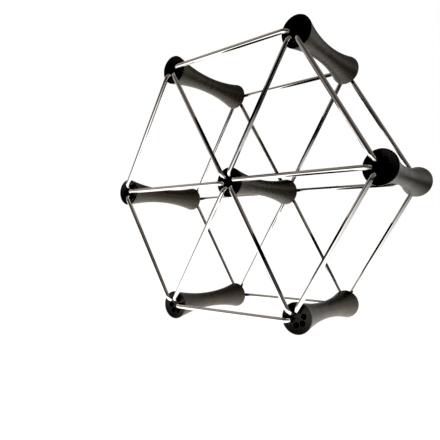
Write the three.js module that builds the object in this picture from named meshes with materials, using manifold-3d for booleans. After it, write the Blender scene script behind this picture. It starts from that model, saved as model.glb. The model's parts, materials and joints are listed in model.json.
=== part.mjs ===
// Modular wine rack: seven spool-shaped rubber hubs on a triangular lattice, joined on their
// front and back ends by staple-shaped steel rods that push into sockets in the hub ends.
// Millimetres, +Z up, front towards -Y. The origin is on the ground, below the middle of the rack.

import * as THREE from 'three';
import { mergeVertices } from 'three/addons/utils/BufferGeometryUtils.js';
import Module from 'manifold-3d';

// ---- driving dimensions -------------------------------------------------------------------

const HUB_SPACING = 160;        // between neighbouring hub axes
const HUB_LENGTH = 126;         // rim to rim
const RIM_D = 32;               // outer diameter at the two rims
const WAIST_D = 18.4;           // outer diameter half way along
const RIM_LAND = 1.6;           // straight length of the rim's outer edge, which rests on the table
const RIM_LIP = 0.8;            // flat ring between the rim's edge and the dished end face
const DISH_DEPTH = 2.4;         // end face below the rim, at its centre
const SEAM_GAP = 0.3;           // between the two mouldings of a hub

const SOCKETS = 6;              // in each end face, one towards each neighbour
const SOCKET_WALL = 1.4;        // between neighbouring sockets
const SOCKET_END_ROOM = 2;      // left between a leg's end and the bottom of its socket

const ROD_D = 5;
const ROD_STANDOFF = 5.5;       // from the rim plane to the axis of a rod's straight bar
const ROD_BEND_R = 6;           // of a rod's centre line
const ROD_LEG_REACH = 23;       // from the rim plane down to a leg's end

const STUD_D = 6;               // joins the two mouldings of a hub
const STUD_LENGTH = 40;

const CLEARANCE = 0.3;          // round a leg in its socket and round a stud in its bore

const NEIGHBOUR_LIMIT = 1.1;    // hubs less than this many spacings apart are joined by rods

// Each hub by name: its column in half spacings from the middle, its row up from the bottom, and
// the degrees that its socket circle has been turned by, anticlockwise seen from the front.
const HUBS = {
  bottom_left: { column: -1, row: 0, turn: 0 },
  bottom_right: { column: 1, row: 0, turn: 18 },
  left: { column: -2, row: 1, turn: 0 },
  centre: { column: 0, row: 1, turn: 11 },
  right: { column: 2, row: 1, turn: 0 },
  top_left: { column: -1, row: 2, turn: 0 },
  top_right: { column: 1, row: 2, turn: -11 },
};

// ---- how finely round things are faceted ---------------------------------------------------

const HUB_SIDES = 24;           // a multiple of 4, so that a flat side faces straight down
const FLARE_STEPS = 5;
const DISH_STEPS = 2;
const SOCKET_SIDES = 8;
const STUD_SIDES = 12;
const ROD_SIDES = 8;
const BEND_STEPS = 3;

// ---- sizes that follow from them -----------------------------------------------------------

const RIM_R = RIM_D / 2;
const WAIST_R = WAIST_D / 2;
const HALF_LENGTH = HUB_LENGTH / 2;
const SOCKET_R = ROD_D / 2 + CLEARANCE;
const SOCKET_CIRCLE_R = (2 * SOCKET_R + SOCKET_WALL) / (2 * Math.sin(Math.PI / SOCKETS));
const SOCKET_DEPTH = ROD_LEG_REACH + SOCKET_END_ROOM;
const STUD_BORE_R = STUD_D / 2 + CLEARANCE;
const STUD_BORE_DEPTH = STUD_LENGTH / 2 + CLEARANCE;
const ROW_HEIGHT = HUB_SPACING * Math.sqrt(3) / 2;
const CUT_OVERRUN = 1;          // how far a cutter stands out of the face it cuts
const MERGE_WITHIN = 1e-4;      // corners closer than this are one corner

// ---- materials -----------------------------------------------------------------------------

function rubber(name) {
  const material = new THREE.MeshStandardMaterial({ color: 0x2e2b28, roughness: 0.75, metalness: 0 });
  material.name = name;
  return material;
}

function steel(name, roughness) {
  const material = new THREE.MeshStandardMaterial({ color: 0xd4d4d2, roughness, metalness: 1 });
  material.name = name;
  return material;
}

// ---- joining and cutting -------------------------------------------------------------------

const wasm = await Module();
wasm.setup();

function toSolid(geometry) {
  const bare = geometry.clone();
  bare.deleteAttribute('normal');
  bare.deleteAttribute('uv');
  const merged = mergeVertices(bare, MERGE_WITHIN);
  return new wasm.Manifold(new wasm.Mesh({
    numProp: 3,
    vertProperties: new Float32Array(merged.attributes.position.array),
    triVerts: new Uint32Array(merged.index.array),
  }));
}

function toGeometry(solid) {
  const mesh = solid.getMesh();
  const geometry = new THREE.BufferGeometry();
  geometry.setAttribute('position', new THREE.BufferAttribute(new Float32Array(mesh.vertProperties), 3));
  geometry.setIndex(new THREE.BufferAttribute(new Uint32Array(mesh.triVerts), 1));
  geometry.computeVertexNormals();
  return geometry;
}

// A polygon's corners lie outside a true circle whose flat sides touch it.
function cornerRadius(radius, sides) {
  return radius / Math.cos(Math.PI / sides);
}

// ---- one moulding of a hub -----------------------------------------------------------------

// Half of the hub's outline, from the axis at the dished end, over the rim and down the flare
// to the waist. The rim is at y = -HALF_LENGTH and the flare is one arc that is level at y = 0.
function hubHalfOutline() {
  const outline = [];
  const lipR = RIM_R - RIM_LIP;
  const dishR = (lipR ** 2 + DISH_DEPTH ** 2) / (2 * DISH_DEPTH);
  for (let i = 0; i < DISH_STEPS; i++) {
    const r = lipR * i / DISH_STEPS;
    const below = Math.sqrt(dishR ** 2 - r ** 2) - (dishR - DISH_DEPTH);
    outline.push(new THREE.Vector2(r, -HALF_LENGTH + below));
  }
  outline.push(new THREE.Vector2(lipR, -HALF_LENGTH));
  outline.push(new THREE.Vector2(RIM_R, -HALF_LENGTH));

  const flareLength = HALF_LENGTH - RIM_LAND;
  const flareRise = RIM_R - WAIST_R;
  const flareR = (flareLength ** 2 + flareRise ** 2) / (2 * flareRise);
  for (let i = 0; i <= FLARE_STEPS; i++) {
    const y = flareLength * (1 - i / FLARE_STEPS);
    const r = WAIST_R + flareR - Math.sqrt(flareR ** 2 - y ** 2);
    outline.push(new THREE.Vector2(r, -Math.max(y, SEAM_GAP / 2)));
  }
  outline.push(new THREE.Vector2(0, -SEAM_GAP / 2));
  return outline.map((p) => new THREE.Vector2(cornerRadius(p.x, HUB_SIDES), p.y));
}

function cutter(radius, sides, fromY, toY) {
  const geometry = new THREE.CylinderGeometry(
    cornerRadius(radius, sides), cornerRadius(radius, sides), toY - fromY, sides);
  return geometry.translate(0, (fromY + toY) / 2, 0);
}

function hubHalfGeometry(turn) {
  const facetTurn = Math.PI / HUB_SIDES;
  let solid = toSolid(new THREE.LatheGeometry(hubHalfOutline(), HUB_SIDES, facetTurn));

  for (let i = 0; i < SOCKETS; i++) {
    const angle = THREE.MathUtils.degToRad(turn) + 2 * Math.PI * i / SOCKETS;
    const socket = cutter(SOCKET_R, SOCKET_SIDES, -HALF_LENGTH - CUT_OVERRUN, -HALF_LENGTH + SOCKET_DEPTH);
    socket.translate(SOCKET_CIRCLE_R * Math.cos(angle), 0, SOCKET_CIRCLE_R * Math.sin(angle));
    solid = solid.subtract(toSolid(socket));
  }

  const studBore = cutter(STUD_BORE_R, STUD_SIDES, -STUD_BORE_DEPTH, CUT_OVERRUN);
  return toGeometry(solid.subtract(toSolid(studBore)));
}

// ---- one rod -------------------------------------------------------------------------------

// The centre line of a staple: up one leg, round a bend, along the bar, round the second bend and
// down the other leg. The bar lies along X, the legs point to +Y and y = 0 is the hubs' rim plane.
class StapleCurve extends THREE.Curve {
  constructor(span) {
    super();
    this.points = [];
    this.tangents = [];
    for (const side of [-1, 1]) {
      const stations = [];
      stations.push({ x: 0, y: ROD_LEG_REACH, angle: 0 });
      for (let i = 0; i <= BEND_STEPS; i++) {
        const angle = Math.PI / 2 * i / BEND_STEPS;
        stations.push({
          x: ROD_BEND_R * (1 - Math.cos(angle)),
          y: -ROD_STANDOFF + ROD_BEND_R * (1 - Math.sin(angle)),
          angle,
        });
      }
      if (side > 0) stations.reverse();
      for (const { x, y, angle } of stations) {
        this.points.push(new THREE.Vector3(side * (span / 2 - x), y, 0));
        this.tangents.push(new THREE.Vector3(Math.sin(angle), side * Math.cos(angle), 0));
      }
    }
  }

  get steps() {
    return this.points.length - 1;
  }

  getPointAt(u) {
    return this.points[Math.round(u * this.steps)].clone();
  }

  getTangentAt(u) {
    return this.tangents[Math.round(u * this.steps)].clone();
  }
}

function rodGeometry(span) {
  const corners = [];
  for (let i = 0; i < ROD_SIDES; i++) {
    const angle = 2 * Math.PI * i / ROD_SIDES;
    corners.push(new THREE.Vector2(ROD_D / 2 * Math.cos(angle), ROD_D / 2 * Math.sin(angle)));
  }
  const curve = new StapleCurve(span);
  return new THREE.ExtrudeGeometry(new THREE.Shape(corners), { steps: curve.steps, extrudePath: curve });
}

// ---- the rack ------------------------------------------------------------------------------

function hubAxis(hub) {
  return new THREE.Vector2(hub.column * HUB_SPACING / 2, RIM_R + hub.row * ROW_HEIGHT);
}

// The socket of one hub that points towards another.
function socketTowards(hub, other) {
  const direction = hubAxis(other).sub(hubAxis(hub)).normalize();
  const turned = direction.rotateAround(new THREE.Vector2(), THREE.MathUtils.degToRad(hub.turn));
  return hubAxis(hub).add(turned.multiplyScalar(SOCKET_CIRCLE_R));
}

function addHub(group, name, hub) {
  const axis = hubAxis(hub);
  const parts = new THREE.Group();
  parts.position.set(axis.x, 0, axis.y);
  group.add(parts);

  const front = new THREE.Mesh(hubHalfGeometry(hub.turn), rubber('hub_rubber'));
  front.name = `${name}_hub_front_half`;
  parts.add(front);

  const back = new THREE.Mesh(hubHalfGeometry(-hub.turn), rubber('hub_rubber'));
  back.name = `${name}_hub_back_half`;
  back.rotation.z = Math.PI;
  parts.add(back);

  const stud = new THREE.Mesh(
    new THREE.CylinderGeometry(STUD_D / 2, STUD_D / 2, STUD_LENGTH, STUD_SIDES),
    steel('stud_steel', 0.45));
  stud.name = `${name}_hub_stud`;
  parts.add(stud);
}

function addRod(group, face, from, to) {
  const start = socketTowards(HUBS[from], HUBS[to]);
  const end = socketTowards(HUBS[to], HUBS[from]);
  const rod = new THREE.Mesh(rodGeometry(start.distanceTo(end)), steel('rod_steel', 0.15));
  rod.name = `${face}_rod_${from}_to_${to}`;

  // Turned about Z for the back face, then about the depth axis to lie along its two sockets.
  const middle = start.clone().add(end).divideScalar(2);
  const slope = Math.atan2(end.y - start.y, end.x - start.x);
  const holder = new THREE.Group();
  holder.position.set(middle.x, face === 'front' ? -HALF_LENGTH : HALF_LENGTH, middle.y);
  holder.rotation.y = -slope;
  rod.rotation.z = face === 'front' ? 0 : Math.PI;
  holder.add(rod);
  group.add(holder);
}

const group = new THREE.Group();

for (const [name, hub] of Object.entries(HUBS)) {
  addHub(group, name, hub);
}

const names = Object.keys(HUBS);
for (const face of ['front', 'back']) {
  for (const [i, from] of names.entries()) {
    for (const to of names.slice(i + 1)) {
      const apart = hubAxis(HUBS[from]).distanceTo(hubAxis(HUBS[to]));
      if (apart < HUB_SPACING * NEIGHBOUR_LIMIT) addRod(group, face, from, to);
    }
  }
}

export default group;
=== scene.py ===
"""Looks of the modular wine rack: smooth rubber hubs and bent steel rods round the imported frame."""
import json
import math

import bmesh
import bpy
import numpy as np
from mathutils import Matrix, Vector


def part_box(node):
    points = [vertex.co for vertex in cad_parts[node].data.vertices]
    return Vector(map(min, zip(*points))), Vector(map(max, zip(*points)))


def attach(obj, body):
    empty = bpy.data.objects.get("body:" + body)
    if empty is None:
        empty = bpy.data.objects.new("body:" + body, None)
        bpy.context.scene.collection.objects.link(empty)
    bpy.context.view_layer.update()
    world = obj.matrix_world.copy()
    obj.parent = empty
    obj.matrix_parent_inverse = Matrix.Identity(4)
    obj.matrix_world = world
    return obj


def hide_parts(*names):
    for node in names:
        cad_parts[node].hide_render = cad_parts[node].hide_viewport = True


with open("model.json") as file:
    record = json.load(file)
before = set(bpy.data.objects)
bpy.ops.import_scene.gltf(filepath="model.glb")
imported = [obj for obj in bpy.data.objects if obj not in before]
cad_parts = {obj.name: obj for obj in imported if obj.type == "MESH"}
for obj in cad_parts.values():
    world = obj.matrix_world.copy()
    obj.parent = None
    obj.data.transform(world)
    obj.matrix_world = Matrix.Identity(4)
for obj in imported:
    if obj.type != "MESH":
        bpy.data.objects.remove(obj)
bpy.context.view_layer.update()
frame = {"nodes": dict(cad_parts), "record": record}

MM = 0.001

# ---- sizes of the hubs' surface that the frame's boxes don't give ---------------------------

WAIST_R = 9.2 * MM
DISH_DEPTH = 2.4 * MM           # of the end face below the rim, on the axis
LIP = 0.8 * MM                  # between the dish and the rim's outer edge
LAND = 1.6 * MM                 # straight part of the rim's outer edge
RIM_ROUNDING = 0.3 * MM
LIP_BLEND = 0.05 * MM           # softens the corner between the dish and the lip
LAND_BLEND = 0.12 * MM          # softens the corner between the land and the flare
FACE_EDGE = 1.6 * MM            # the sixths of the end face stop this far inside the rim
SEAM_GAP = 0.03 * MM            # from the middle of the hub to each moulding
SEAM_ROUNDING = 0.22 * MM
SOCKET_CLEARANCE = 0.3 * MM     # round a rod's leg
SOCKET_DEPTH = 25 * MM
MOUTH_ROUNDING = 0.18 * MM
STUD_BORE_R = 3.3 * MM
STUD_BORE_DEPTH = 20.3 * MM
STUD_BORE_MOUTH = 0.3 * MM      # chamfer round the mouth of the stud's bore
STUD_BORE_CORNER = 0.1 * MM     # chamfer round its blind end

# ---- sizes of the rods' surface --------------------------------------------------------------

BEND_R = 6 * MM
END_CHAMFER = 0.4 * MM

# ---- how far the marks that the materials read reach round their edges ------------------------

RUBBED_RIM_REACH = 0.7 * MM
RUBBED_MOUTH_REACH = 0.35 * MM
RUBBED_MOUTH_SHARE = 0.6        # of the rubbing that the rim gets
SEAM_REACH = 0.8 * MM
FACE_TOLERANCE = 0.2 * RIM_ROUNDING     # a point this little below the end face still lies on it

# ---- how finely they are made ----------------------------------------------------------------

SOCKETS = 6
ARC_STEPS = 20                  # along a sixth of the rim
EDGE_STEPS = 26                 # along each side of a sixth of the end face
FACE_ROWS = 12
FLARE_ROWS = 64
FLARE_CROWDING = 1.25           # above 1 it draws the rows of the flare towards the rim
FILLET_ROWS = 6
LIP_ROWS = 10
ROD_SIDES = 32
BEND_ROWS = 18
BAR_ROWS = 24
LEG_ROWS = 6

# ---- reading the frame -----------------------------------------------------------------------

SAME_DEPTH = 0.01 * MM          # corners this close in depth lie on the same flat end


def corners(node):
    """The different corner points of a CAD node, as an array."""
    mesh = frame["nodes"][node].data
    points = np.zeros(len(mesh.vertices) * 3)
    mesh.vertices.foreach_get("co", points)
    return np.unique(points.reshape(-1, 3).round(7), axis=0)


def leg_tips(rod):
    """The corners of a rod's two leg ends: its deepest corners, split across their longest spread."""
    points = corners(rod)
    inward = -np.sign(points[:, 1].mean())
    depth = points[:, 1] * inward
    tips = points[depth > depth.max() - SAME_DEPTH]
    middle = tips.mean(0)
    spread = np.linalg.svd(tips - middle)[2][0]
    side = (tips - middle) @ spread
    return tips[side < 0], tips[side > 0]


HUB_HALVES = sorted(n for n in frame["nodes"] if n.endswith("_half"))
STUDS = sorted(n for n in frame["nodes"] if n.endswith("_stud"))
RODS = sorted(n for n in frame["nodes"] if "_rod_" in n)
BODY_OF = {n: b for b, ns in frame["record"]["behaviour"]["bodies"].items() for n in ns}
LEG_CORNERS = {rod: leg_tips(rod) for rod in RODS}
TIPS = {rod: [tip.mean(0) for tip in LEG_CORNERS[rod]] for rod in RODS}
ROD_R = np.linalg.norm(LEG_CORNERS[RODS[0]][0] - TIPS[RODS[0]][0], axis=1).max()
SOCKET_R = ROD_R + SOCKET_CLEARANCE

# ---- meshes from grids -----------------------------------------------------------------------

WELD = 0.002 * MM               # points this close are made one


def circle_points(angles):
    """Points of the unit circle at the given angles: cosine and sine."""
    return np.stack([np.cos(angles), np.sin(angles)], -1)


def even_angles(count):
    """A full turn in equal steps, the last one short of the first."""
    return np.arange(count) * 2 * math.pi / count


def grid_faces(rows, columns):
    """Index quads of a grid of points, one row after another, whose last column joins its first."""
    r, c = np.meshgrid(np.arange(rows - 1), np.arange(columns), indexing="ij")
    a, b = r * columns + c, r * columns + (c + 1) % columns
    return np.stack([a, b, b + columns, a + columns], -1).reshape(-1, 4)


def piece_from_grids(name, grids):
    """One closed piece from several grids of points, each an array of rows by columns by 3 that closes
    on itself. Points that meet are welded, which also closes a row that has shrunk to a pole, and
    faces point out."""
    points, faces, start = [], [], 0
    for grid in grids:
        rows, columns = grid.shape[:2]
        points.append(grid.reshape(-1, 3))
        faces.append(grid_faces(rows, columns) + start)
        start += rows * columns
    mesh = bpy.data.meshes.new(name)
    mesh.from_pydata(np.concatenate(points).tolist(), [], np.concatenate(faces).tolist())
    work = bmesh.new()
    work.from_mesh(mesh)
    bmesh.ops.remove_doubles(work, verts=work.verts, dist=WELD)
    bmesh.ops.recalc_face_normals(work, faces=work.faces)
    work.to_mesh(mesh)
    work.free()
    mesh.shade_smooth()
    piece = bpy.data.objects.new(name, mesh)
    bpy.context.scene.collection.objects.link(piece)
    return piece


def points_of(piece):
    """The points of a finished piece, as an array."""
    points = np.zeros(len(piece.data.vertices) * 3)
    piece.data.vertices.foreach_get("co", points)
    return points.reshape(-1, 3)


def keep_value(piece, name, values):
    """Stores one number at each point of a piece, for its material to read."""
    attribute = piece.data.attributes.new(name, "FLOAT", "POINT")
    attribute.data.foreach_set("value", values.astype(np.float32))


def keep_vector(piece, name, vectors):
    """Stores three numbers at each point of a piece, for its material to read."""
    attribute = piece.data.attributes.new(name, "FLOAT_VECTOR", "POINT")
    attribute.data.foreach_set("vector", vectors.astype(np.float32).ravel())


# ---- hubs ------------------------------------------------------------------------------------


def dish(r, lip_r):
    """Depth of the end face below the rim plane: a shallow bowl of one radius, which a soft maximum
    rounds into the lip, level with the rim from lip_r out."""
    bowl_r = (lip_r**2 + DISH_DEPTH**2) / (2 * DISH_DEPTH)
    bowl = np.sqrt(bowl_r**2 - r**2) - (bowl_r - DISH_DEPTH)
    return LIP_BLEND * np.logaddexp(bowl / LIP_BLEND, 0)


def flare(depth, rim_r, half):
    """Outer radius at a depth below the rim: one arc, level at the waist and at rim_r where the land
    ends, rounded into the land by a soft minimum of the two."""
    rise, run = rim_r - WAIST_R, half - LAND
    arc_r = (run**2 + rise**2) / (2 * rise)
    arc = WAIST_R + arc_r - np.sqrt(arc_r**2 - (half - depth) ** 2)
    return -LAND_BLEND * np.logaddexp(-arc / LAND_BLEND, -rim_r / LAND_BLEND)


def sixth_of_face(rim_r, circle_r):
    """Rows of points on a sixth of the end face, round its one socket, in the plane of the face, with
    the socket on the first axis at circle_r. The columns are rays from the socket's middle to the edge
    of the sixth: along its arc, 30 degrees either way, and then, at even angles seen from the socket,
    along its two straight sides, which meet on the hub's axis. The rows go up the socket's wall, over
    its rounded mouth and out to that edge. Gives their places in the plane and their depths."""
    half_sixth = math.pi / SOCKETS
    rim = (rim_r - FACE_EDGE) * circle_points(np.linspace(-half_sixth, half_sixth, ARC_STEPS + 1))
    first = math.atan2(rim[-1, 1], rim[-1, 0] - circle_r)
    angle = np.linspace(first, math.pi, EDGE_STEPS + 1)[1:]
    slope = math.tan(half_sixth)
    reach = circle_r * slope / (np.sin(angle) - slope * np.cos(angle))
    socket = np.array([circle_r, 0.0])
    side = socket + reach[:, None] * circle_points(angle)
    edge = np.concatenate([rim, side, side[-2::-1] * (1, -1)])

    ray = edge - socket
    length = np.linalg.norm(ray, axis=1)
    ray = ray / length[:, None]
    share = np.linspace(0, 1, FACE_ROWS)[:, None]
    reach = (SOCKET_R + MOUTH_ROUNDING) * (1 - share) + length * share
    face = socket + ray * reach[..., None]
    lip_r = rim_r - LIP
    face_depth = dish(np.linalg.norm(face, axis=-1), lip_r)

    turn = np.linspace(0, math.pi / 2, FILLET_ROWS)[:, None]
    wall_r = SOCKET_R + MOUTH_ROUNDING * (1 - np.sin(turn))
    wall_depth = face_depth[0] + MOUTH_ROUNDING * (1 - np.cos(turn))
    deep = np.array([[SOCKET_DEPTH / 2], [SOCKET_DEPTH], [SOCKET_DEPTH], [SOCKET_DEPTH]])
    deep_r = np.array([[1.0], [1.0], [0.5], [0.0]]) * SOCKET_R
    wall_r = np.concatenate([wall_r, deep_r])
    wall_depth = np.concatenate([wall_depth, np.broadcast_to(deep, (len(deep), len(ray)))])
    wall = socket + ray * wall_r[..., None]

    plane = np.concatenate([wall[::-1], face[1:]])
    depth = np.concatenate([wall_depth[::-1], face_depth[1:]])
    return plane, depth


def barrel_profile(rim_r, half):
    """Radius and depth down the outside of a moulding: over the lip and the rounded rim, along the flare
    to the waist, round the seam's small rounding, across the waist and up the stud's bore to the axis."""
    lip_r = np.linspace(rim_r - FACE_EDGE, rim_r - RIM_ROUNDING, LIP_ROWS + 1)[:-1]
    lip = np.stack([lip_r, dish(lip_r, rim_r - LIP)], -1)
    turn = np.linspace(0, math.pi / 2, FILLET_ROWS)
    rim = np.stack([rim_r - RIM_ROUNDING * (1 - np.sin(turn)), RIM_ROUNDING * (1 - np.cos(turn))], -1)
    bottom = half - SEAM_GAP
    share = np.linspace(0, 1, FLARE_ROWS + 1)[1:]
    depth = RIM_ROUNDING + (bottom - SEAM_ROUNDING - RIM_ROUNDING) * share**FLARE_CROWDING
    outside = np.stack([flare(depth, rim_r, half), depth], -1)
    seam_r = outside[-1, 0] - SEAM_ROUNDING * (1 - np.cos(turn[1:]))
    seam = np.stack([seam_r, bottom - SEAM_ROUNDING * (1 - np.sin(turn[1:]))], -1)
    top = half - STUD_BORE_DEPTH
    bore = [
        (STUD_BORE_R + STUD_BORE_MOUTH, bottom),
        (STUD_BORE_R, bottom - STUD_BORE_MOUTH),
        (STUD_BORE_R, top + STUD_BORE_CORNER),
        (STUD_BORE_R - STUD_BORE_CORNER, top),
        (0, top),
    ]
    return np.concatenate([lip, rim, outside, seam, np.array(bore)])


def hub_half(node):
    """A smooth moulding of a hub. Its end face is six sixths, each round a socket, and its outside is a
    profile carried round the axis at the same angles, so that the two meet point to point at the rim."""
    low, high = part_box(node)
    axis = np.array([(low.x + high.x) / 2, (low.z + high.z) / 2])
    rim_r = (high.x - low.x) / 2
    side = -1 if low.y + high.y < 0 else 1
    half = max(abs(low.y), abs(high.y))

    tips = np.array([tip for rod in RODS for tip in TIPS[rod] if tip[1] * side > 0])
    offsets = tips[:, [0, 2]] - axis
    nearest = offsets[np.argmin(np.linalg.norm(offsets, axis=1))]
    circle_r, first = np.linalg.norm(nearest), math.atan2(nearest[1], nearest[0])

    def place(plane, depth):
        return np.stack([axis[0] + plane[..., 0], side * (half - depth), axis[1] + plane[..., 1]], -1)

    grids = []
    plane, depth = sixth_of_face(rim_r, circle_r)
    for angle in first + even_angles(SOCKETS):
        c, s = math.cos(angle), math.sin(angle)
        grids.append(place(plane @ np.array([[c, s], [-s, c]]), depth))

    profile = barrel_profile(rim_r, half)
    around = first + math.pi / SOCKETS + even_angles(SOCKETS * ARC_STEPS)
    barrel = profile[:, None, :1] * circle_points(around)
    grids.append(place(barrel, np.broadcast_to(profile[:, 1:], barrel.shape[:2])))

    piece = piece_from_grids(node.replace("_half", "_moulding"), grids)
    mark_hub(piece, axis, side, half, rim_r, circle_r, first)
    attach(piece, BODY_OF[node])
    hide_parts(node)
    return piece


def mark_hub(piece, axis, side, half, rim_r, circle_r, first):
    """Stores how much each point is rubbed in use, most at the rim and less at the sockets' mouths,
    whether it lies on the end face or in a socket, and how near it is to the seam. The first and the
    last are bell curves of the distance to those edges."""
    points = points_of(piece)
    depth = half - side * points[:, 1]
    flat = points[:, [0, 2]] - axis
    r = np.linalg.norm(flat, axis=1)
    step = 2 * math.pi / SOCKETS
    angle = np.arctan2(flat[:, 1], flat[:, 0]) - first
    angle -= np.round(angle / step) * step
    to_socket = np.hypot(r * np.cos(angle) - circle_r, r * np.sin(angle))
    mouth_r = SOCKET_R + MOUTH_ROUNDING
    below_face = depth - dish(r, rim_r - LIP)
    rim = np.exp(-((r - rim_r) ** 2 + depth**2) / RUBBED_RIM_REACH**2)
    mouth = np.exp(-((to_socket - mouth_r) ** 2 + below_face**2) / RUBBED_MOUTH_REACH**2)
    keep_value(piece, "rubbed", np.clip(rim + RUBBED_MOUTH_SHARE * mouth, 0, 1))
    in_socket = (to_socket < mouth_r) & (depth < SOCKET_DEPTH + MOUTH_ROUNDING)
    keep_value(piece, "end_face", ((below_face < FACE_TOLERANCE) | in_socket).astype(float))
    keep_value(piece, "seam", np.exp(-(((half - depth) / SEAM_REACH) ** 2)))


# ---- rods ------------------------------------------------------------------------------------


def rod_line(span, leg):
    """Stations along a rod's centre line in its own plane, with the bar along the first axis and the
    legs along the second. Each has its place, its direction, its radius as a share of the rod's, and
    how much it lies in a bend, most in the middle of the bend. The line is two straight legs, two
    quarter circles and a straight bar, and each leg ends in a chamfer and a flat face."""
    lines = []
    for side in (-1, 1):
        rows = [(span / 2, leg, 0.0, 0.0, 0.0), (span / 2, leg, 0.0, 1 - END_CHAMFER / ROD_R, 0.0)]
        straight = np.linspace(leg - END_CHAMFER, BEND_R, LEG_ROWS)
        rows += [(span / 2, y, 0.0, 1.0, 0.0) for y in straight]
        for turn in np.linspace(0, math.pi / 2, BEND_ROWS)[1:]:
            x = span / 2 - BEND_R * (1 - math.cos(turn))
            rows.append((x, BEND_R * (1 - math.sin(turn)), turn, 1.0, math.sin(2 * turn)))
        rows = np.array(rows)
        place = rows[:, :2] * (side, 1)
        heading = np.stack([np.sin(rows[:, 2]), side * np.cos(rows[:, 2])], -1)
        block = np.concatenate([place, heading, rows[:, 3:]], -1)
        lines.append(block if side < 0 else block[::-1])
    share = np.linspace(0, 1, BAR_ROWS + 1)[1:-1, None]
    bar = lines[0][-1] * (1 - share) + lines[1][0] * share
    return np.concatenate([lines[0], bar, lines[1]])


def rod(node):
    """A smooth bent rod: a circle carried along the rod's line, square to it everywhere."""
    start, end = TIPS[node]
    if start[0] > end[0]:
        start, end = end, start
    low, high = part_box(node)
    side = -1 if low.y + high.y < 0 else 1
    bar = (high.y if side > 0 else low.y) - side * ROD_R
    across = (end - start) / np.linalg.norm(end - start)
    inward = np.array([0.0, -side, 0.0])
    upright = np.cross(across, inward)
    middle = (start + end) / 2
    middle[1] = bar

    line = rod_line(np.linalg.norm(end - start), abs(start[1] - bar))
    place = middle + line[:, :1] * across + line[:, 1:2] * inward
    heading = line[:, 2:3] * across + line[:, 3:4] * inward
    square = np.cross(heading, upright)
    theta = even_angles(ROD_SIDES)
    ring = np.cos(theta)[None, :, None] * upright + np.sin(theta)[None, :, None] * square[:, None]
    grid = place[:, None] + ROD_R * line[:, 4, None, None] * ring

    piece = piece_from_grids(node.replace("_rod_", "_bent_rod_"), [grid])
    mark_rod(piece, place, upright, square, line[:, 5])
    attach(piece, BODY_OF[node])
    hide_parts(node)
    return piece


def mark_rod(piece, place, upright, square, bent):
    """Stores each point's place on the rod, two numbers across the section and one along it, all in
    metres, and how much it lies in a bend. Both come from the nearest station of the rod's line."""
    points = points_of(piece)
    station = np.argmin(np.linalg.norm(points[:, None] - place, axis=2), axis=1)
    along = np.concatenate([[0], np.cumsum(np.linalg.norm(np.diff(place, axis=0), axis=1))])
    off = points - place[station]
    on_rod = np.stack([off @ upright, (off * square[station]).sum(1), along[station]], -1)
    keep_vector(piece, "on_rod", on_rod)
    keep_value(piece, "bend", bent[station])


# ---- shared shader groups --------------------------------------------------------------------


class Nodes:
    """A small helper that adds nodes to a tree and links them by socket name."""

    def __init__(self, tree):
        self.tree = tree

    def add(self, kind, **settings):
        node = self.tree.nodes.new(kind)
        for key, value in settings.items():
            setattr(node, key, value)
        return node

    def link(self, start, end):
        self.tree.links.new(start, end)
        return end

    def math(self, operation, a, b=None, clamp=False):
        node = self.add("ShaderNodeMath", operation=operation, use_clamp=clamp)
        for socket, value in zip(node.inputs, (a, b)):
            self.feed(socket, value)
        return node.outputs[0]

    def feed(self, socket, value):
        if value is None:
            return
        if isinstance(value, bpy.types.NodeSocket):
            self.tree.links.new(value, socket)
        else:
            socket.default_value = value

    def noise(self, vector, scale, detail=2.0, roughness=0.5):
        node = self.add("ShaderNodeTexNoise")
        self.feed(node.inputs["Vector"], vector)
        node.inputs["Scale"].default_value = scale
        node.inputs["Detail"].default_value = detail
        node.inputs["Roughness"].default_value = roughness
        return node.outputs["Fac"]

    def span(self, value, low, high, to_low=0.0, to_high=1.0):
        """Maps low..high to to_low..to_high and holds it there."""
        node = self.add("ShaderNodeMapRange", clamp=True)
        self.feed(node.inputs["Value"], value)
        for name, number in zip(("From Min", "From Max", "To Min", "To Max"), (low, high, to_low, to_high)):
            self.feed(node.inputs[name], number)
        return node.outputs["Result"]

    def mix(self, factor, a, b):
        node = self.add("ShaderNodeMix", data_type="RGBA")
        for name, value in (("Factor", factor), ("A", a), ("B", b)):
            socket = next(s for s in node.inputs if s.name == name and s.enabled)
            self.feed(socket, value)
        return next(s for s in node.outputs if s.enabled)


def new_group(name, inputs, outputs):
    """A shader group with named inputs, each a socket type and a starting value, and named outputs."""
    tree = bpy.data.node_groups.new(name, "ShaderNodeTree")
    for socket, (kind, value) in inputs.items():
        made = tree.interface.new_socket(name=socket, in_out="INPUT", socket_type=kind)
        if value is not None:
            made.default_value = value
    for socket, kind in outputs.items():
        tree.interface.new_socket(name=socket, in_out="OUTPUT", socket_type=kind)
    n = Nodes(tree)
    return tree, n, n.add("NodeGroupInput").outputs, n.add("NodeGroupOutput").inputs


def rubbed_edges_group():
    """A mask of the edges that hands and shelves rub: the edge value, broken up by blotches."""
    tree, n, given, out = new_group(
        "rubbed_edges",
        {
            "Vector": ("NodeSocketVector", None),
            "Edge": ("NodeSocketFloat", 0.0),
            "Blotch Scale": ("NodeSocketFloat", 300.0),
        },
        {"Mask": "NodeSocketFloat"},
    )
    noise = n.add("ShaderNodeTexNoise")
    n.link(given["Vector"], noise.inputs["Vector"])
    n.link(given["Blotch Scale"], noise.inputs["Scale"])
    noise.inputs["Detail"].default_value = 4.0
    blotch = n.span(noise.outputs["Fac"], 0.35, 0.65, 0.25, 1.0)
    n.link(n.math("MULTIPLY", given["Edge"], blotch, clamp=True), out["Mask"])
    return tree


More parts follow.
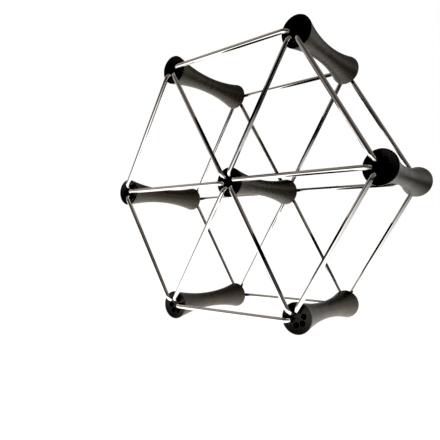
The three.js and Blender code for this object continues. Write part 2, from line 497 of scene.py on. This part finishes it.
def settled_dust_group():
    """A mask of fine dust: sparse specks, more of them where the surface looks up."""
    tree, n, given, out = new_group(
        "settled_dust",
        {
            "Vector": ("NodeSocketVector", None),
            "Upward": ("NodeSocketFloat", 0.0),
            "Speck Scale": ("NodeSocketFloat", 900.0),
            "Amount": ("NodeSocketFloat", 0.1),
        },
        {"Mask": "NodeSocketFloat"},
    )
    noise = n.add("ShaderNodeTexNoise")
    n.link(given["Vector"], noise.inputs["Vector"])
    n.link(given["Speck Scale"], noise.inputs["Scale"])
    noise.inputs["Detail"].default_value = 3.0
    specks = n.span(noise.outputs["Fac"], 0.62, 0.78)
    upward = n.span(given["Upward"], -0.2, 0.9, 0.15, 1.0)
    n.link(n.math("MULTIPLY", n.math("MULTIPLY", specks, upward), given["Amount"], clamp=True), out["Mask"])
    return tree


def uneven_gloss_group():
    """Roughness that wanders about a middle value, in broad patches and in fine ones."""
    tree, n, given, out = new_group(
        "uneven_gloss",
        {
            "Vector": ("NodeSocketVector", None),
            "Middle": ("NodeSocketFloat", 0.5),
            "Broad": ("NodeSocketFloat", 0.05),
            "Fine": ("NodeSocketFloat", 0.02),
            "Scale": ("NodeSocketFloat", 40.0),
        },
        {"Roughness": "NodeSocketFloat"},
    )
    broad = n.add("ShaderNodeTexNoise")
    n.link(given["Vector"], broad.inputs["Vector"])
    n.link(given["Scale"], broad.inputs["Scale"])
    fine = n.add("ShaderNodeTexNoise")
    n.link(given["Vector"], fine.inputs["Vector"])
    n.link(n.math("MULTIPLY", given["Scale"], 14.0), fine.inputs["Scale"])
    wide = n.math("MULTIPLY", n.span(broad.outputs["Fac"], 0.3, 0.7, -1.0, 1.0), given["Broad"])
    small = n.math("MULTIPLY", n.span(fine.outputs["Fac"], 0.3, 0.7, -1.0, 1.0), given["Fine"])
    n.link(n.math("ADD", given["Middle"], n.math("ADD", wide, small), clamp=True), out["Roughness"])
    return tree


RUBBED_EDGES = rubbed_edges_group()
SETTLED_DUST = settled_dust_group()
UNEVEN_GLOSS = uneven_gloss_group()

# ---- materials -------------------------------------------------------------------------------


def new_material(name):
    """A new material, a node helper on its tree, and the inputs of its Principled shader."""
    material = bpy.data.materials.new(name)
    material.use_nodes = True
    n = Nodes(material.node_tree)
    shader = material.node_tree.nodes["Principled BSDF"]
    return material, n, shader.inputs


def placed(n, tree, **values):
    """The output of a shared group, placed with its own values. Names use _ for a space."""
    node = n.add("ShaderNodeGroup", node_tree=tree)
    for name, value in values.items():
        n.feed(node.inputs[name.replace("_", " ")], value)
    return node.outputs[0]


def attribute(n, name, output="Fac"):
    """A number or a vector that the piece stores at its points."""
    return n.add("ShaderNodeAttribute", attribute_name=name).outputs[output]


def facing_up(n):
    """How much the surface looks up: 1 straight up, 0 sideways, -1 down."""
    parts = n.add("ShaderNodeSeparateXYZ")
    n.link(n.add("ShaderNodeNewGeometry").outputs["Normal"], parts.inputs[0])
    return parts.outputs["Z"]


def soft_touch_rubber():
    """Matt black moulded rubber with a fine skin grain, darker on the end faces, a little lighter where
    it is rubbed, and with a trace of dust."""
    material, n, shader = new_material("soft_touch_rubber")
    place = n.add("ShaderNodeTexCoord").outputs["Object"]
    patch = n.span(n.noise(place, 35.0, 4.0), 0.3, 0.7)
    barrel = n.mix(patch, (0.070, 0.059, 0.044, 1), (0.080, 0.068, 0.052, 1))
    face = n.mix(patch, (0.0235, 0.0212, 0.0182, 1), (0.0285, 0.0257, 0.0222, 1))
    end_face = attribute(n, "end_face")
    colour = n.mix(end_face, barrel, face)
    rubbed = placed(n, RUBBED_EDGES, Vector=place, Edge=attribute(n, "rubbed"), Blotch_Scale=420.0)
    colour = n.mix(n.math("MULTIPLY", rubbed, 0.35), colour, (0.060, 0.055, 0.050, 1))
    dust = placed(n, SETTLED_DUST, Vector=place, Upward=facing_up(n), Speck_Scale=1300.0, Amount=0.08)
    colour = n.mix(dust, colour, (0.20, 0.19, 0.175, 1))
    seam = attribute(n, "seam")
    colour = n.mix(n.math("MULTIPLY", seam, 0.5), colour, (0.030, 0.027, 0.024, 1))
    n.link(colour, shader["Base Color"])

    gloss = placed(n, UNEVEN_GLOSS, Vector=place, Middle=0.44, Broad=0.04, Fine=0.03, Scale=45.0)
    n.link(n.math("SUBTRACT", gloss, n.math("MULTIPLY", rubbed, 0.14), clamp=True), shader["Roughness"])
    shader["Specular IOR Level"].default_value = 0.34
    shader["Specular Tint"].default_value = (1.0, 0.90, 0.78, 1)

    cells = n.add("ShaderNodeTexVoronoi", feature="F1")
    n.feed(cells.inputs["Vector"], place)
    cells.inputs["Scale"].default_value = 2600.0
    grain = n.math("ADD", n.math("MULTIPLY", cells.outputs["Distance"], 0.6), n.noise(place, 1500.0, 3.0))
    bump = n.add("ShaderNodeBump")
    bump.inputs["Strength"].default_value = 0.22
    bump.inputs["Distance"].default_value = 0.03 * MM
    n.link(grain, bump.inputs["Height"])
    n.link(bump.outputs["Normal"], shader["Normal"])
    return material


def polished_rod_steel():
    """Drawn stainless rod, polished: faint lines along its length, a few fine hairlines, and duller,
    marked bends."""
    material, n, shader = new_material("polished_rod_steel")
    on_rod = attribute(n, "on_rod", "Vector")
    stretch = n.add("ShaderNodeMapping")
    n.link(on_rod, stretch.inputs["Vector"])
    stretch.inputs["Scale"].default_value = (1.0, 1.0, 0.012)
    lines = n.noise(stretch.outputs["Vector"], 5200.0, 3.0, 0.6)
    hair = n.span(n.noise(stretch.outputs["Vector"], 2300.0, 1.0), 0.66, 0.72)
    bend = attribute(n, "bend")
    place = n.add("ShaderNodeTexCoord").outputs["Object"]

    cloud = n.noise(place, 60.0, 3.0)
    colour = n.mix(n.span(cloud, 0.3, 0.7), (0.76, 0.735, 0.705, 1), (0.83, 0.805, 0.775, 1))
    colour = n.mix(n.math("MULTIPLY", hair, 0.25), colour, (0.46, 0.45, 0.43, 1))
    dust = placed(n, SETTLED_DUST, Vector=place, Upward=facing_up(n), Speck_Scale=1500.0, Amount=0.05)
    colour = n.mix(dust, colour, (0.55, 0.53, 0.50, 1))
    n.link(colour, shader["Base Color"])
    shader["Metallic"].default_value = 1.0

    gloss = placed(n, UNEVEN_GLOSS, Vector=place, Middle=0.075, Broad=0.02, Fine=0.01, Scale=70.0)
    drawn = n.span(lines, 0.35, 0.65, -0.02, 0.03)
    tooled = placed(n, RUBBED_EDGES, Vector=place, Edge=bend, Blotch_Scale=600.0)
    gloss = n.math("ADD", gloss, n.math("ADD", drawn, n.math("MULTIPLY", tooled, 0.09)), clamp=True)
    n.link(gloss, shader["Roughness"])

    bump = n.add("ShaderNodeBump")
    bump.inputs["Strength"].default_value = 0.12
    bump.inputs["Distance"].default_value = 0.02 * MM
    n.link(lines, bump.inputs["Height"])
    n.link(bump.outputs["Normal"], shader["Normal"])
    return material


def turned_stud_steel():
    """Plain turned steel with fine rings from the lathe, which run round the depth axis."""
    material, n, shader = new_material("turned_stud_steel")
    place = n.add("ShaderNodeTexCoord").outputs["Object"]
    rings = n.add("ShaderNodeTexWave", wave_type="BANDS", bands_direction="Y")
    n.feed(rings.inputs["Vector"], place)
    rings.inputs["Scale"].default_value = 900.0
    rings.inputs["Distortion"].default_value = 1.5
    colour = n.mix(rings.outputs["Fac"], (0.42, 0.41, 0.40, 1), (0.56, 0.55, 0.54, 1))
    n.link(colour, shader["Base Color"])
    shader["Metallic"].default_value = 1.0
    gloss = placed(n, UNEVEN_GLOSS, Vector=place, Middle=0.36, Broad=0.05, Fine=0.03, Scale=80.0)
    n.link(gloss, shader["Roughness"])
    bump = n.add("ShaderNodeBump")
    bump.inputs["Strength"].default_value = 0.3
    bump.inputs["Distance"].default_value = 0.03 * MM
    n.link(rings.outputs["Fac"], bump.inputs["Height"])
    n.link(bump.outputs["Normal"], shader["Normal"])
    return material


def cover(piece, material):
    """Gives a piece one material in place of any that it has."""
    piece.data.materials.clear()
    piece.data.materials.append(material)


RUBBER = soft_touch_rubber()
ROD_STEEL = polished_rod_steel()
STUD_STEEL = turned_stud_steel()

for node in HUB_HALVES:
    cover(hub_half(node), RUBBER)
for node in RODS:
    cover(rod(node), ROD_STEEL)
for node in STUDS:
    for slot in frame["nodes"][node].material_slots:
        slot.material = STUD_STEEL

# ---- studio ----------------------------------------------------------------------------------

FLOOR_HALF = 6.0
FLOOR_Z = -0.2 * MM


def seen_or_lit(n, seen, lit):
    """Mixes two shaders: what the eye meets first, and what lights the rack and shows in its steel."""
    mix = n.add("ShaderNodeMixShader")
    n.link(n.add("ShaderNodeLightPath").outputs["Is Camera Ray"], mix.inputs[0])
    n.link(lit, mix.inputs[1])
    n.link(seen, mix.inputs[2])
    return mix.outputs[0]


def add_floor():
    """A pale light table: white wherever it is seen, and shining up at the rack from under and behind
    it, but hardly at all in front or to the right."""
    mesh = bpy.data.meshes.new("floor")
    corners_in_turn = [(-1, -1), (1, -1), (1, 1), (-1, 1)]
    points = [(x * FLOOR_HALF, y * FLOOR_HALF, FLOOR_Z) for x, y in corners_in_turn]
    mesh.from_pydata(points, [], [(0, 1, 2, 3)])
    floor = bpy.data.objects.new("floor", mesh)
    bpy.context.scene.collection.objects.link(floor)

    material = bpy.data.materials.new("light_table")
    material.use_nodes = True
    material.node_tree.nodes.clear()
    n = Nodes(material.node_tree)
    place = n.add("ShaderNodeSeparateXYZ")
    n.link(n.add("ShaderNodeTexCoord").outputs["Object"], place.inputs[0])
    shine = n.add("ShaderNodeEmission")
    beside = n.span(place.outputs["X"], 0.12, 0.42, 1.6, 0.06)
    before = n.span(place.outputs["Y"], -1.3, -0.7, 0.03, 1.0)
    n.feed(shine.inputs["Strength"], n.math("MULTIPLY", beside, before))
    white = n.add("ShaderNodeEmission")
    white.inputs["Strength"].default_value = 0.95
    matt = n.add("ShaderNodeBsdfDiffuse")
    matt.inputs["Color"].default_value = (0.32, 0.32, 0.32, 1)
    both = n.add("ShaderNodeAddShader")
    n.link(white.outputs[0], both.inputs[0])
    n.link(matt.outputs[0], both.inputs[1])
    out = n.add("ShaderNodeOutputMaterial")
    n.link(seen_or_lit(n, both.outputs[0], shine.outputs[0]), out.inputs["Surface"])
    mesh.materials.append(material)


UPPER_LEFT = Vector((-0.85, -0.10, 0.45))
WARM = (1.0, 0.92, 0.83, 1)
WHITE = (1, 1, 1, 1)


def add_surround():
    """White studio surround: it shines low behind the rack and softly from the upper left, and is dim
    overhead and to the right and dark in front. Dim parts are a little warm."""
    world = bpy.data.worlds.new("studio")
    world.use_nodes = True
    world.node_tree.nodes.clear()
    bpy.context.scene.world = world
    n = Nodes(world.node_tree)
    way = n.add("ShaderNodeTexCoord").outputs["Generated"]
    parts = n.add("ShaderNodeSeparateXYZ")
    n.link(way, parts.inputs[0])
    dot = n.add("ShaderNodeVectorMath", operation="DOT_PRODUCT")
    n.link(way, dot.inputs[0])
    dot.inputs[1].default_value = UPPER_LEFT.normalized()
    left = n.span(dot.outputs["Value"], 0.35, 0.90, 0.0, 0.44)
    right = n.span(parts.outputs["X"], 0.0, 0.5, 0.02, 0.20)
    overhead = n.span(parts.outputs["Z"], 0.3, 0.95, 0.0, 0.20)
    horizon = n.span(parts.outputs["Z"], 0.24, 0.50, 1.15, 0.33)
    behind = n.math("MULTIPLY", n.span(parts.outputs["Y"], -0.05, 0.40), horizon)
    strength = n.math("MAXIMUM", n.math("MAXIMUM", left, right), n.math("MAXIMUM", overhead, behind))
    light = n.add("ShaderNodeBackground")
    n.link(n.mix(n.span(strength, 0.25, 0.9), WARM, WHITE), light.inputs["Color"])
    n.feed(light.inputs["Strength"], strength)
    white = n.add("ShaderNodeBackground")
    white.inputs["Color"].default_value = WHITE
    out = n.add("ShaderNodeOutputWorld")
    n.link(seen_or_lit(n, white.outputs[0], light.outputs[0]), out.inputs["Surface"])


FLAG_R = 36 * MM
FLAG_ABOVE_HUB = 79 * MM        # from the axis of the hub below it
FLAG_ENDS = (-90 * MM, 120 * MM)        # along the depth axis
FLAG_SIDES = 48


def add_flag(name, hub):
    """A black studio flag in the cell above a hub: a closed roll, a circle carried along the depth axis.
    It isn't seen itself and throws no shadow on the table, but shows in the steel as the dark edges of
    the rods beside it."""
    low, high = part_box(hub)
    middle = np.array([(low.x + high.x) / 2, (low.z + high.z) / 2 + FLAG_ABOVE_HUB])
    circle = circle_points(even_angles(FLAG_SIDES))
    front, back = FLAG_ENDS
    rows = []
    for y, r in ((front, 0), (front, FLAG_R), (back, FLAG_R), (back, 0)):
        ring = middle + circle * r
        rows.append(np.stack([ring[:, 0], np.full(FLAG_SIDES, y), ring[:, 1]], -1))
    flag = piece_from_grids(name, [np.array(rows)])
    flag.visible_camera = False
    flag.visible_shadow = False
    material = bpy.data.materials.new(name)
    material.use_nodes = True
    shader = material.node_tree.nodes["Principled BSDF"].inputs
    shader["Base Color"].default_value = (0.012, 0.011, 0.010, 1)
    shader["Roughness"].default_value = 0.35
    cover(flag, material)


# ---- camera ----------------------------------------------------------------------------------

SENSOR = 36.0                   # wide, in millimetres
LENS = 36.70                    # in millimetres
SHIFT = (0.0014, 0.0588)        # of the lens, as a share of the sensor's width
AZIMUTH, ELEVATION, ROLL = 37.037, 0.644, -0.2135
FROM_CENTRE_FACE = Vector((281.95, -391.5, -62.98)) * MM


def add_camera():
    """The camera stands to the right of the rack, a little below its middle, and looks almost level."""
    low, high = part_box("centre_hub_front_half")
    face = Vector(((low.x + high.x) / 2, low.y, (low.z + high.z) / 2))
    data = bpy.data.cameras.new("camera")
    data.sensor_width = SENSOR
    data.lens = LENS
    data.shift_x, data.shift_y = SHIFT
    data.clip_start = 0.01
    camera = bpy.data.objects.new("camera", data)
    bpy.context.scene.collection.objects.link(camera)
    turn = Matrix.Rotation(math.radians(AZIMUTH), 4, "Z")
    tilt = Matrix.Rotation(math.radians(90 - ELEVATION), 4, "X")
    roll = Matrix.Rotation(math.radians(ROLL), 4, "Z")
    camera.matrix_world = Matrix.Translation(face + FROM_CENTRE_FACE) @ turn @ tilt @ roll
    bpy.context.scene.camera = camera


# ---- view ------------------------------------------------------------------------------------

VIEW_GAMMA = 0.90
BLACK_LEVEL = (0.0245, 0.0222, 0.0192)


def set_view():
    """Deep shadows: a gamma just below one, and a black level that takes a little more red than blue
    off the darkest tones, so that they stay neutral."""
    view = bpy.context.scene.view_settings
    view.view_transform = "Standard"
    view.gamma = VIEW_GAMMA
    view.use_curve_mapping = True
    view.curve_mapping.black_level = BLACK_LEVEL
    view.curve_mapping.update()


add_floor()
add_surround()
add_flag("upper_black_flag", "centre_hub_front_half")
add_flag("lower_black_flag", "bottom_right_hub_front_half")
add_camera()
set_view()
